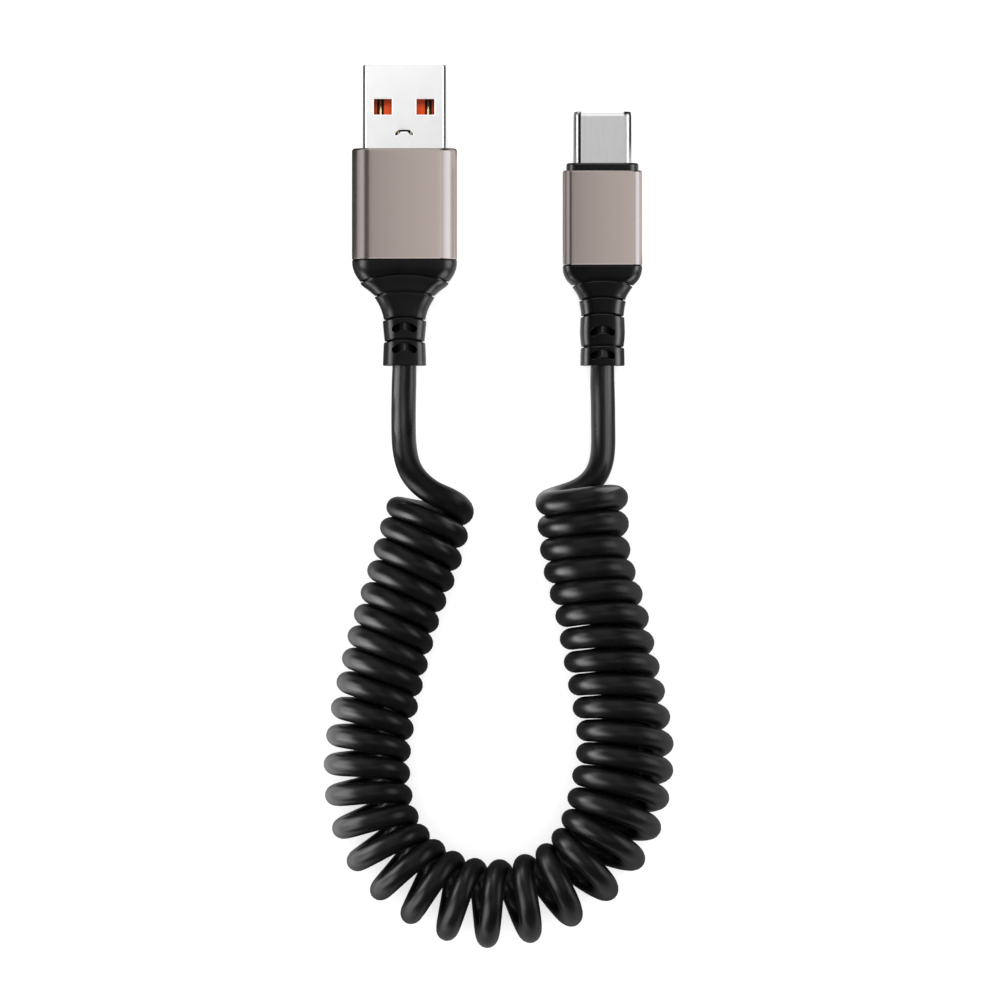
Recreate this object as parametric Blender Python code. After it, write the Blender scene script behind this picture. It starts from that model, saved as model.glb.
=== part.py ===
"""Curly charging cable with a USB-A plug at one end and a USB-C plug at the other.

The cable lies on a level surface at z = 0. Both plugs point along +Y, the
USB-A plug on the left and the USB-C plug on the right, and the coil hangs
below them (towards -Y) in the shape of a U. Units are metres.
"""

import math

import bmesh
import bpy
from mathutils import Vector

MM = 0.001
GAP = 0.2 * MM  # clearance between neighbouring pieces

# ---------------------------------------------------------------- dimensions
CORD_D = 3.5 * MM

# USB-A plug: centre line, heights along Y, widths along X, thickness along Z
A_X = -13.43 * MM
A_Z = 4.0 * MM
A_SHELL_W, A_SHELL_T, A_SHELL_WALL = 12.0 * MM, 4.5 * MM, 0.3 * MM
A_FRONT = 21.76 * MM
A_HOUSING_W, A_HOUSING_T, A_HOUSING_R = 15.25 * MM, 8.0 * MM, 2.6 * MM
A_HOUSING_WALL = 0.5 * MM
A_HOUSING_FRONT, A_HOUSING_REAR = 9.69 * MM, -6.40 * MM
A_WINDOW_W, A_WINDOW_L = 2.62 * MM, 2.30 * MM
A_WINDOW_X = (-3.13 * MM, 3.04 * MM)
A_WINDOW_Y = 15.71 * MM
A_CONTACT_X = (-3.5 * MM, -1.0 * MM, 1.0 * MM, 3.44 * MM)
A_CONTACT_W, A_CONTACT_T = 0.6 * MM, 0.25 * MM

# USB-C plug
C_X = 15.28 * MM
C_Z = 3.25 * MM
C_SHELL_W, C_SHELL_T, C_SHELL_WALL = 8.42 * MM, 2.5 * MM, 0.25 * MM
C_FRONT = 15.13 * MM
C_COLLAR_W, C_COLLAR_T, C_COLLAR_R = 10.46 * MM, 5.46 * MM, 1.7 * MM
C_COLLAR_FRONT = 7.62 * MM
C_HOUSING_W, C_HOUSING_T, C_HOUSING_R = 11.52 * MM, 6.5 * MM, 1.35 * MM
C_HOUSING_WALL = 0.33 * MM
C_HOUSING_FRONT, C_HOUSING_REAR = 6.52 * MM, -7.23 * MM

# Strain reliefs: (distance of the ring at the side of the boot, half width,
# half thickness, corner radius, bow of the ring towards the plug), in mm
BOOT_END = -21.76 * MM
A_BOOT_ROWS = (
    (-6.60, 7.60, 3.97, 2.60, 0.00),
    (-7.60, 7.52, 3.93, 2.60, 0.25),
    (-8.60, 7.22, 3.82, 2.50, 0.65),
    (-9.25, 6.80, 3.68, 2.40, 1.00),
    (-9.52, 6.50, 3.58, 2.30, 1.16),
    (-9.66, 6.10, 3.22, 2.10, 1.16),
    (-9.80, 6.42, 3.50, 2.25, 1.14),
    (-10.10, 6.32, 3.46, 2.20, 1.05),
    (-11.00, 5.30, 3.36, 2.00, 0.85),
    (-11.58, 4.40, 3.28, 1.95, 0.64),
    (-11.72, 4.02, 2.94, 1.80, 0.64),
    (-11.86, 4.30, 3.22, 1.95, 0.62),
    (-13.00, 3.66, 3.06, 1.90, 0.55),
    (-14.20, 3.20, 2.94, 1.85, 0.50),
    (-15.05, 3.02, 2.88, 1.80, 0.46),
    (-15.20, 2.76, 2.62, 1.70, 0.46),
    (-15.35, 3.14, 2.92, 1.80, 0.45),
    (-18.18, 2.92, 2.86, 1.75, 0.41),
    (-18.33, 2.66, 2.60, 1.65, 0.41),
    (-18.48, 3.00, 2.90, 1.75, 0.40),
    (-21.76, 3.12, 2.92, 1.80, 0.00),
)
C_BOOT_ROWS = (
    (-7.43, 5.74, 3.22, 1.35, 0.00),
    (-8.40, 5.64, 3.20, 1.45, 0.20),
    (-9.35, 5.28, 3.14, 1.65, 0.55),
    (-10.02, 4.62, 3.04, 1.85, 0.82),
    (-10.18, 4.20, 2.76, 1.75, 0.82),
    (-10.34, 4.34, 2.98, 1.90, 0.80),
    (-11.30, 3.70, 2.92, 1.90, 0.62),
    (-12.14, 3.34, 2.88, 1.85, 0.50),
    (-12.30, 3.04, 2.62, 1.75, 0.50),
    (-12.46, 3.36, 2.90, 1.85, 0.50),
    (-14.50, 3.10, 2.86, 1.80, 0.51),
    (-14.66, 2.84, 2.60, 1.70, 0.51),
    (-14.82, 3.18, 2.90, 1.80, 0.50),
    (-17.60, 3.24, 2.92, 1.80, 0.36),
    (-18.98, 3.10, 2.88, 1.80, 0.28),
    (-19.12, 2.84, 2.62, 1.70, 0.28),
    (-19.26, 3.16, 2.90, 1.80, 0.27),
    (-21.76, 3.20, 2.92, 1.80, 0.00),
)
BOOT_BORE_R = CORD_D / 2 + GAP
A_BORE_TOP, C_BORE_TOP = -14.6 * MM, -14.9 * MM
SLOT_REACH, SLOT_RISE, SLOT_R = 1.34 * MM, 0.46 * MM, 0.50 * MM
A_SLOT_Y = (-16.48 * MM, -19.50 * MM)
C_SLOT_Y = (-16.98 * MM, -20.36 * MM)

# Coil: points of its middle line on the floor plan and its outer radius, in mm
COIL_ROUTE = (
    (-9.40, -40.15, 6.28),
    (-10.75, -45.30, 6.27),
    (-12.77, -52.89, 6.26),
    (-15.67, -62.16, 6.12),
    (-17.87, -71.98, 6.20),
    (-18.76, -83.18, 6.30),
    (-13.64, -94.26, 6.27),
    (-1.35, -99.73, 6.47),
    (12.24, -94.54, 6.48),
    (17.85, -83.47, 7.12),
    (18.07, -72.82, 6.90),
    (16.11, -62.33, 6.75),
    (13.61, -52.38, 6.52),
    (12.30, -45.00, 6.75),
    (11.80, -39.60, 6.80),
)
COIL_STATIONS, COIL_SIDES = 44, 16

# Straight leads between the boots and the coil: (x, y, z) in mm
LEAD_A_ROUTE = (
    (-13.43, -14.90, 4.00),
    (-13.43, -19.00, 4.00),
    (-13.44, -23.00, 4.02),
    (-13.48, -27.00, 4.45),
    (-13.45, -30.50, 5.60),
    (-13.20, -33.20, 7.50),
    (-12.50, -35.10, 9.10),
    (-11.30, -36.30, 10.25),
    (-9.85, -37.70, 10.60),
    (-9.35, -38.90, 10.60),
)
LEAD_C_ROUTE = (
    (15.28, -15.20, 3.25),
    (15.28, -19.00, 3.25),
    (15.28, -23.00, 3.20),
    (15.32, -27.50, 2.70),
    (15.30, -32.00, 2.12),
    (14.50, -35.20, 1.98),
    (13.00, -37.20, 1.98),
    (12.20, -38.30, 1.98),
)


# ------------------------------------------------------------------- helpers
def clear_scene():
    for obj in list(bpy.data.objects):
        bpy.data.objects.remove(obj, do_unlink=True)


def material(name, colour, roughness, metallic=0.0):
    mat = bpy.data.materials.new(name)
    mat.use_nodes = True
    shader = mat.node_tree.nodes["Principled BSDF"]
    shader.inputs["Base Color"].default_value = (*colour, 1.0)
    shader.inputs["Roughness"].default_value = roughness
    shader.inputs["Metallic"].default_value = metallic
    mat.diffuse_color = (*colour, 1.0)
    return mat


def rounded_rect(width, thickness, radius, corner=4, across=0):
    """Points of a rounded rectangle, counter-clockwise from the right side.

    Each corner has corner + 1 points, and the long sides carry `across`
    further points between their corners."""
    hw, ht = width / 2 - radius, thickness / 2 - radius
    points = []
    for quarter, (cx, cz) in enumerate(((hw, ht), (-hw, ht), (-hw, -ht), (hw, -ht))):
        for i in range(corner + 1):
            angle = (quarter + i / corner) * math.pi / 2
            points.append((cx + radius * math.cos(angle), cz + radius * math.sin(angle)))
        if quarter in (0, 2):
            side = 1 if quarter == 0 else -1
            for i in range(1, across + 1):
                f = i / (across + 1)
                points.append((side * hw * (1 - 2 * f), side * (ht + radius)))
    return points


def ring(section, y, x=0.0, z=0.0, bow=0.0, half=1.0):
    """A section set across the Y axis; bow lifts its middle towards +Y."""
    return [
        Vector((x + u, y + bow * (1 - min(1.0, abs(u) / half) ** 2), z + v))
        for u, v in section
    ]


def loft(name, rings, mat, wrap=False, smooth=30.0):
    """A closed body through rings of equal point count. Its ends are capped,
    or with wrap the last ring joins the first, as in a sleeve."""
    bm = bmesh.new()
    rows = [[bm.verts.new(point) for point in points] for points in rings]
    pairs = list(zip(rows, rows[1:]))
    if wrap:
        pairs.append((rows[-1], rows[0]))
    else:
        bm.faces.new(list(reversed(rows[0])))
        bm.faces.new(rows[-1])
    count = len(rows[0])
    for one, two in pairs:
        for i in range(count):
            j = (i + 1) % count
            bm.faces.new((one[i], one[j], two[j], two[i]))
    bmesh.ops.recalc_face_normals(bm, faces=bm.faces)
    mesh = bpy.data.meshes.new(name)
    bm.to_mesh(mesh)
    bm.free()
    mesh.shade_smooth()
    mesh.set_sharp_from_angle(angle=math.radians(smooth))
    obj = bpy.data.objects.new(name, mesh)
    bpy.context.scene.collection.objects.link(obj)
    if mat:
        obj.data.materials.append(mat)
    return obj


def sleeve(name, outer, inner, front, rear, x, z, mat):
    """A tube open at both ends, between two sections of equal point count."""
    return loft(
        name,
        [
            ring(outer, front, x, z),
            ring(outer, rear, x, z),
            ring(inner, rear, x, z),
            ring(inner, front, x, z),
        ],
        mat,
        wrap=True,
    )


def block(name, x, y, z, mat):
    """A box between low and high limits on each axis."""
    section = [(x[1], z[0]), (x[1], z[1]), (x[0], z[1]), (x[0], z[0])]
    return loft(name, [ring(section, y[0]), ring(section, y[1])], mat)


def as_cutter(obj):
    obj.hide_render = True
    obj.display_type = "WIRE"
    return obj


def cut(obj, cutter):
    modifier = obj.modifiers.new(cutter.name, "BOOLEAN")
    modifier.operation = "DIFFERENCE"
    modifier.solver = "EXACT"
    modifier.object = as_cutter(cutter)


def upright_prism(name, outline, low, high):
    """A prism that stands along Z on an outline in the XY plane."""
    return loft(
        name,
        [[Vector((x, y, low)) for x, y in outline], [Vector((x, y, high)) for x, y in outline]],
        None,
    )


def band_outline(line, half):
    """The outline of a band of the given half width along a line, round-ended."""
    def normal(i):
        a, b = line[max(i - 1, 0)], line[min(i + 1, len(line) - 1)]
        dx, dy = b[0] - a[0], b[1] - a[1]
        size = math.hypot(dx, dy)
        return -dy / size, dx / size

    def end(i, turn):
        nx, ny = normal(i)
        start = math.atan2(ny, nx) if turn > 0 else math.atan2(-ny, -nx)
        return [
            (line[i][0] + half * math.cos(start - math.pi * k / 4), line[i][1] + half * math.sin(start - math.pi * k / 4))
            for k in range(1, 4)
        ]

    upper = [(p[0] + half * normal(i)[0], p[1] + half * normal(i)[1]) for i, p in enumerate(line)]
    lower = [(p[0] - half * normal(i)[0], p[1] - half * normal(i)[1]) for i, p in enumerate(line)]
    return upper + end(len(line) - 1, 1) + lower[::-1] + end(0, -1)


def smooth_curve(route, count):
    """Points evenly spread on a smooth curve through the route's points."""
    points = [Vector(p) for p in route]
    points = [2 * points[0] - points[1], *points, 2 * points[-1] - points[-2]]
    dense = []
    for a, b, c, d in zip(points, points[1:], points[2:], points[3:]):
        for k in range(24):
            t = k / 24
            dense.append(
                0.5 * (2 * b + (c - a) * t + (2 * a - 5 * b + 4 * c - d) * t * t + (3 * b - a - 3 * c + d) * t ** 3)
            )
    dense.append(points[-2])
    lengths = [0.0]
    for a, b in zip(dense, dense[1:]):
        lengths.append(lengths[-1] + (b - a).length)
    result, at = [], 0
    for k in range(count):
        want = lengths[-1] * k / (count - 1)
        while at < len(dense) - 2 and lengths[at + 1] < want:
            at += 1
        span = lengths[at + 1] - lengths[at]
        result.append(dense[at].lerp(dense[at + 1], (want - lengths[at]) / span))
    return result


def cord_tube(name, route, count, mat):
    curve = bpy.data.curves.new(name, "CURVE")
    curve.dimensions = "3D"
    curve.bevel_depth = CORD_D / 2
    curve.bevel_resolution = 2
    curve.use_fill_caps = True
    spline = curve.splines.new("POLY")
    points = smooth_curve([tuple(v * MM for v in p) for p in route], count)
    spline.points.add(len(points) - 1)
    for target, point in zip(spline.points, points):
        target.co = (*point, 1.0)
    obj = bpy.data.objects.new(name, curve)
    bpy.context.scene.collection.objects.link(obj)
    curve.materials.append(mat)
    return obj


def coil_body(name, mat):
    """The coil as one fat tube of its outer diameter, resting on the floor."""
    line = smooth_curve([tuple(v * MM for v in p) for p in COIL_ROUTE], COIL_STATIONS)
    rings = []
    for i, (x, y, radius) in enumerate(line):
        a, b = line[max(i - 1, 0)], line[min(i + 1, len(line) - 1)]
        along = Vector((b[0] - a[0], b[1] - a[1], 0)).normalized()
        across = Vector((along[1], -along[0], 0))
        rings.append(
            [
                Vector((x, y, radius))
                + across * (radius * math.cos(2 * math.pi * k / COIL_SIDES))
                + Vector((0, 0, radius * math.sin(2 * math.pi * k / COIL_SIDES)))
                for k in range(COIL_SIDES)
            ]
        )
    return loft(name, rings, mat, smooth=40.0)


def arch(x, y, reach, rise, steps=6):
    """The middle line of an arched slot that bows towards the plug."""
    return [
        (x + reach * (2 * i / steps - 1), y + rise * (1 - (2 * i / steps - 1) ** 2))
        for i in range(steps + 1)
    ]


def boot(name, rows, x, z, bore_top, slots, mat):
    rings = []
    for y, half_width, half_thickness, radius, bow in rows:
        section = rounded_rect(
            2 * half_width * MM, 2 * half_thickness * MM, radius * MM, corner=3, across=5
        )
        rings.append(ring(section, y * MM, x, z, bow * MM, half_width * MM))
    obj = loft(name, rings, mat, smooth=50.0)
    circle = [
        (BOOT_BORE_R * math.cos(2 * math.pi * k / 16), BOOT_BORE_R * math.sin(2 * math.pi * k / 16))
        for k in range(16)
    ]
    cut(obj, loft(name + "_bore", [ring(circle, BOOT_END - 1 * MM, x, z), ring(circle, bore_top, x, z)], None))
    for i, y in enumerate(slots):
        outline = band_outline(arch(x, y, SLOT_REACH, SLOT_RISE), SLOT_R)
        cut(obj, upright_prism(f"{name}_slot_{i + 1}", outline, z - 4 * MM, z + 4 * MM))
    return obj


# ----------------------------------------------------------------- the model
def usb_a_plug(steel, insulator, gold, black, taupe, rubber):
    outer = rounded_rect(A_SHELL_W, A_SHELL_T, 0.6 * MM)
    inner = rounded_rect(A_SHELL_W - 2 * A_SHELL_WALL, A_SHELL_T - 2 * A_SHELL_WALL, 0.3 * MM)
    shell_rear = 3.4 * MM
    shell = sleeve("usb_a_shell", outer, inner, A_FRONT, shell_rear, A_X, A_Z, steel)
    for offset, label in zip(A_WINDOW_X, ("left", "right")):
        middle = A_X + offset
        cut(
            shell,
            block(
                f"usb_a_window_{label}",
                (middle - A_WINDOW_W / 2, middle + A_WINDOW_W / 2),
                (A_WINDOW_Y - A_WINDOW_L / 2, A_WINDOW_Y + A_WINDOW_L / 2),
                (A_Z - 4 * MM, A_Z + 4 * MM),
                None,
            ),
        )
    # The stamped tab near the root of the shell, an arched slit in its top wall
    slit = [(-1.22, 11.76), (-0.62, 12.36), (0.62, 12.36), (1.22, 11.76)]
    line = [(A_X + x * MM, y * MM) for x, y in slit]
    cut(shell, upright_prism("usb_a_tab_slit", band_outline(line, 0.13 * MM), A_Z + 1.5 * MM, A_Z + 3 * MM))

    # The insulator fills the lower half of the shell, and all of it at the back
    floor = A_Z - A_SHELL_T / 2 + A_SHELL_WALL + GAP
    roof = A_Z + A_SHELL_T / 2 - A_SHELL_WALL - GAP
    half = A_SHELL_W / 2 - A_SHELL_WALL - GAP
    tongue_top = A_Z + 0.05 * MM
    tip, step, back = A_FRONT - 0.5 * MM, 9.0 * MM, shell_rear + 0.1 * MM
    profile = [(tip, floor), (tip, tongue_top), (step, tongue_top), (step, roof), (back, roof), (back, floor)]
    tongue = loft(
        "usb_a_tongue",
        [[Vector((A_X + x, y, z)) for y, z in profile] for x in (-half, half)],
        insulator,
    )
    channel = A_CONTACT_W / 2 + 0.2 * MM
    deep = tongue_top - 0.45 * MM
    for i, x in enumerate(A_CONTACT_X):
        cut(
            tongue,
            block(
                f"usb_a_channel_{i + 1}",
                (A_X + x - channel, A_X + x + channel),
                (step + 0.4 * MM, tip - 0.7 * MM),
                (deep, tongue_top + 1 * MM),
                None,
            ),
        )
        block(
            f"usb_a_contact_{i + 1}",
            (A_X + x - A_CONTACT_W / 2, A_X + x + A_CONTACT_W / 2),
            (step + 0.6 * MM, tip - 0.9 * MM),
            (deep + 0.15 * MM, deep + 0.15 * MM + A_CONTACT_T),
            gold,
        )

    # Inner mould: a block with a pocket for the shell, inside the housing
    cavity_w = A_HOUSING_W - 2 * A_HOUSING_WALL
    cavity_t = A_HOUSING_T - 2 * A_HOUSING_WALL
    mould = rounded_rect(cavity_w - 2 * GAP, cavity_t - 2 * GAP, A_HOUSING_R - A_HOUSING_WALL - GAP)
    pocket = rounded_rect(A_SHELL_W + 2 * GAP, A_SHELL_T + 2 * GAP, 0.8 * MM)
    mould_front = A_HOUSING_FRONT - 0.35 * MM
    loft(
        "usb_a_inner_mould",
        [
            ring(mould, A_HOUSING_REAR, A_X, A_Z),
            ring(mould, mould_front, A_X, A_Z),
            ring(pocket, mould_front, A_X, A_Z),
            ring(pocket, shell_rear - GAP, A_X, A_Z),
        ],
        black,
    )
    sleeve(
        "usb_a_housing",
        rounded_rect(A_HOUSING_W, A_HOUSING_T, A_HOUSING_R, corner=6),
        rounded_rect(cavity_w, cavity_t, A_HOUSING_R - A_HOUSING_WALL, corner=6),
        A_HOUSING_FRONT,
        A_HOUSING_REAR,
        A_X,
        A_Z,
        taupe,
    )
    boot("usb_a_boot", A_BOOT_ROWS, A_X, A_Z, A_BORE_TOP, A_SLOT_Y, rubber)


def usb_c_plug(steel, black, taupe, rubber):
    radius = C_SHELL_T / 2 - 0.01 * MM
    shell_rear = 3.2 * MM
    inner_w, inner_t = C_SHELL_W - 2 * C_SHELL_WALL, C_SHELL_T - 2 * C_SHELL_WALL
    sleeve(
        "usb_c_shell",
        rounded_rect(C_SHELL_W, C_SHELL_T, radius, corner=6),
        rounded_rect(inner_w, inner_t, radius - C_SHELL_WALL, corner=6),
        C_FRONT,
        shell_rear,
        C_X,
        C_Z,
        steel,
    )
    # Insulator: lines the shell and leaves the mating slot open at the front
    lining_t = inner_t - 0.24 * MM
    lining = rounded_rect(inner_w - 0.24 * MM, lining_t, lining_t / 2 - 0.01 * MM, corner=5)
    slot = rounded_rect(6.9 * MM, 0.95 * MM, 0.25 * MM, corner=5)
    loft(
        "usb_c_insulator",
        [
            ring(lining, shell_rear + 0.1 * MM, C_X, C_Z),
            ring(lining, C_FRONT - 0.45 * MM, C_X, C_Z),
            ring(slot, C_FRONT - 0.45 * MM, C_X, C_Z),
            ring(slot, C_FRONT - 6.2 * MM, C_X, C_Z),
        ],
        black,
    )
    # Inner mould: its front stands out of the housing as a collar
    mould = rounded_rect(C_COLLAR_W, C_COLLAR_T, C_COLLAR_R)
    lip = rounded_rect(C_COLLAR_W - 0.5 * MM, C_COLLAR_T - 0.5 * MM, C_COLLAR_R - 0.25 * MM)
    pocket = rounded_rect(C_SHELL_W + 2 * GAP, C_SHELL_T + 2 * GAP, C_SHELL_T / 2 + GAP - 0.01 * MM)
    loft(
        "usb_c_inner_mould",
        [
            ring(mould, C_HOUSING_REAR, C_X, C_Z),
            ring(mould, C_COLLAR_FRONT - 0.25 * MM, C_X, C_Z),
            ring(lip, C_COLLAR_FRONT, C_X, C_Z),
            ring(pocket, C_COLLAR_FRONT, C_X, C_Z),
            ring(pocket, shell_rear - GAP, C_X, C_Z),
        ],
        black,
    )
    sleeve(
        "usb_c_housing",
        rounded_rect(C_HOUSING_W, C_HOUSING_T, C_HOUSING_R, corner=6),
        rounded_rect(
            C_HOUSING_W - 2 * C_HOUSING_WALL, C_HOUSING_T - 2 * C_HOUSING_WALL, C_HOUSING_R - C_HOUSING_WALL, corner=6
        ),
        C_HOUSING_FRONT,
        C_HOUSING_REAR,
        C_X,
        C_Z,
        taupe,
    )
    boot("usb_c_boot", C_BOOT_ROWS, C_X, C_Z, C_BORE_TOP, C_SLOT_Y, rubber)


def main():
    clear_scene()
    steel = material("plated_steel", (0.78, 0.78, 0.78), 0.22, 1.0)
    insulator = material("orange_insulator", (0.85, 0.10, 0.02), 0.4)
    gold = material("gold_contact", (0.86, 0.72, 0.42), 0.25, 1.0)
    black = material("black_plastic", (0.02, 0.02, 0.02), 0.4)
    taupe = material("taupe_aluminium", (0.42, 0.36, 0.34), 0.3, 1.0)
    rubber = material("black_elastomer", (0.012, 0.012, 0.012), 0.45)
    usb_a_plug(steel, insulator, gold, black, taupe, rubber)
    usb_c_plug(steel, black, taupe, rubber)
    cord_tube("cord_lead_a", LEAD_A_ROUTE, 10, rubber)
    coil_body("cord_coil", rubber)
    cord_tube("cord_lead_c", LEAD_C_ROUTE, 10, rubber)


main()
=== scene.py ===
import math

import bmesh
import bpy
import numpy as np
from mathutils import Matrix, Vector


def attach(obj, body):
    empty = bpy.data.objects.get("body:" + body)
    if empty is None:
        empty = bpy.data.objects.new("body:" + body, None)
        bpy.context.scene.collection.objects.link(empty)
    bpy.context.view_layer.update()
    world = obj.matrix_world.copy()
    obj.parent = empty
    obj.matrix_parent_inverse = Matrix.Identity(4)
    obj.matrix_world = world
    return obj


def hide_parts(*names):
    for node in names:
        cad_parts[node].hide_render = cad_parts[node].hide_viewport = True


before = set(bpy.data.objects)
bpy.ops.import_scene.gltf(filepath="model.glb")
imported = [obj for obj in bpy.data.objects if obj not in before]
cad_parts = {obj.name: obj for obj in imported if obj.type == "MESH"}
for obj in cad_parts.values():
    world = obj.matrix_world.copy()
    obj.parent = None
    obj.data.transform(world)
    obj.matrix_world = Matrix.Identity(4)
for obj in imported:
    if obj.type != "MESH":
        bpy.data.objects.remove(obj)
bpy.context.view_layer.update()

MM = 0.001
SCALE = 0.145 * MM  # metres across one pixel of the 1002 x 1002 frame

# ------------------------------------------------------------------ dimensions
CORD_R = 1.75
A_X, A_Z = -13.43, 4.0
C_X, C_Z = 15.28, 3.25

# Where the cord's middle stands at the outer side and at the inner side of the
# coil, at turns 0, 2, 4 ... 36 and 37: (outer x, outer y, inner x, inner y), in mm
TURNS = (
    (-14.27, -42.34, -5.56, -44.56),
    (-16.11, -48.33, -7.34, -51.25),
    (-18.00, -54.72, -9.64, -57.17),
    (-19.89, -60.98, -11.39, -63.41),
    (-21.49, -67.65, -12.86, -69.46),
    (-22.99, -75.31, -14.06, -75.87),
    (-23.18, -83.91, -14.25, -82.32),
    (-20.11, -93.38, -12.43, -88.51),
    (-12.38, -100.98, -7.86, -92.99),
    (-1.39, -104.39, -1.42, -95.03),
    (10.76, -101.27, 5.85, -93.52),
    (19.76, -93.03, 10.42, -88.99),
    (23.18, -84.23, 12.28, -82.79),
    (23.79, -76.40, 13.27, -76.25),
    (22.55, -68.85, 12.33, -69.62),
    (21.01, -61.83, 11.10, -63.01),
    (19.29, -54.79, 9.80, -56.37),
    (17.52, -48.32, 8.18, -50.04),
    (17.22, -40.90, 7.28, -43.36),
    (16.75, -37.55, 6.20, -40.05),
)
FIRST_TURN, LAST_TURN = -0.2, 36.5
LEAN = (-0.115, 0.120)  # how far the coil's top leans over, as a share of its radius
LEAD_A = (
    (-13.43, -14.78, 4.00),
    (-13.43, -18.20, 4.00),
    (-13.46, -21.80, 4.00),
    (-13.53, -25.00, 4.12),
    (-13.57, -28.00, 4.55),
    (-13.56, -30.80, 5.45),
    (-13.45, -33.20, 6.70),
    (-13.08, -35.40, 8.15),
    (-12.32, -37.30, 9.40),
    (-10.60, -39.25, 10.40),
    (-8.85, -40.40, 10.55),
    (-6.95, -41.25, 9.80),
    (-5.65, -42.10, 8.30),
)
LEAD_C = (
    (8.20, -41.15, 3.70),
    (10.25, -40.50, 2.15),
    (12.60, -39.40, 1.80),
    (14.25, -37.75, 1.77),
    (15.10, -35.80, 1.78),
    (15.40, -33.50, 1.86),
    (15.40, -30.40, 2.20),
    (15.36, -27.20, 2.70),
    (15.28, -24.20, 3.12),
    (15.28, -21.80, 3.25),
    (15.28, -18.20, 3.25),
    (15.28, -15.10, 3.25),
)


# --------------------------------------------------------------------- helpers
def new_object(name, mesh, mats, smooth=30.0):
    mesh.shade_smooth()
    mesh.set_sharp_from_angle(angle=math.radians(smooth))
    obj = bpy.data.objects.new(name, mesh)
    bpy.context.scene.collection.objects.link(obj)
    for mat in mats:
        obj.data.materials.append(mat)
    return obj


def loft(name, rings, mats, wrap=False, smooth=30.0, slots=None, caps=True):
    """A closed body through rings (in mm) of equal point count."""
    bm = bmesh.new()
    rows = [[bm.verts.new(Vector(p) * MM) for p in points] for points in rings]
    count = len(rows[0])
    pairs = [(k, k + 1) for k in range(len(rows) - 1)]
    if wrap:
        pairs.append((len(rows) - 1, 0))
    elif caps:
        bm.faces.new(list(reversed(rows[0])))
        bm.faces.new(rows[-1])
    for k, m in pairs:
        for i in range(count):
            j = (i + 1) % count
            face = bm.faces.new((rows[k][i], rows[k][j], rows[m][j], rows[m][i]))
            if slots:
                face.material_index = slots[k]
    bmesh.ops.recalc_face_normals(bm, faces=bm.faces)
    mesh = bpy.data.meshes.new(name)
    bm.to_mesh(mesh)
    bm.free()
    return new_object(name, mesh, mats, smooth)


def rounded(hw, ht, r, corner=10, across=0, upright=0):
    """Points of a rounded rectangle given by half width, half thickness and
    corner radius, counter-clockwise from the right side."""
    r = max(0.01, min(r, hw - 0.005, ht - 0.005))
    cw, ct = hw - r, ht - r
    points = []
    for quarter, (sx, sz) in enumerate(((1, 1), (-1, 1), (-1, -1), (1, -1))):
        for i in range(corner + 1):
            angle = (quarter + i / corner) * math.pi / 2
            points.append((sx * cw + r * math.cos(angle), sz * ct + r * math.sin(angle)))
        if quarter in (0, 2):
            for i in range(1, across + 1):
                f = i / (across + 1)
                points.append((sx * cw * (1 - 2 * f), sz * ht))
        else:
            for i in range(1, upright + 1):
                f = i / (upright + 1)
                points.append((sx * hw, sz * ct * (1 - 2 * f)))
    return points


def ring(section, y, x, z, bow=0.0, half=1.0, crown=0.0):
    """A section across Y. bow lifts its middle towards +Y; crown drops the
    upper side a little towards both edges."""
    out = []
    for u, v in section:
        f = min(1.0, abs(u) / half)
        out.append((x + u, y + bow * (1 - f * f), z + v - (crown * f * f if v > 0 else 0.0)))
    return out


def cut(obj, cutter):
    cutter.hide_render = True
    cutter.hide_viewport = False
    modifier = obj.modifiers.new("cut", "BOOLEAN")
    modifier.operation = "DIFFERENCE"
    modifier.solver = "EXACT"
    modifier.object = cutter
    return cutter


def weigh(obj):
    """Keeps flat faces flat: their rounded edges don't bend the shading."""
    modifier = obj.modifiers.new("weigh", "WEIGHTED_NORMAL")
    modifier.mode = "FACE_AREA"
    modifier.weight = 50
    modifier.keep_sharp = True
    depsgraph = bpy.context.evaluated_depsgraph_get()
    mesh = bpy.data.meshes.new_from_object(obj.evaluated_get(depsgraph))
    obj.modifiers.clear()
    old, obj.data = obj.data, mesh
    bpy.data.meshes.remove(old)
    return obj


def settle(obj, cutters=(), smooth=30.0):
    """Applies an object's modifiers and removes its cutters."""
    depsgraph = bpy.context.evaluated_depsgraph_get()
    mesh = bpy.data.meshes.new_from_object(obj.evaluated_get(depsgraph))
    obj.modifiers.clear()
    old = obj.data
    obj.data = mesh
    bpy.data.meshes.remove(old)
    for cutter in cutters:
        bpy.data.objects.remove(cutter, do_unlink=True)
    mesh.shade_smooth()
    mesh.set_sharp_from_angle(angle=math.radians(smooth))
    return obj


def prism(name, outlines):
    """A body through outlines in the XY plane, each with its own height."""
    return loft(name, [[(x, y, z) for x, y in outline] for outline, z in outlines], [])


def box(name, x, y, z, mats=()):
    section = [(x[1], z[0]), (x[1], z[1]), (x[0], z[1]), (x[0], z[0])]
    return loft(name, [[(u, y[0], v) for u, v in section], [(u, y[1], v) for u, v in section]], mats)


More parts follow.
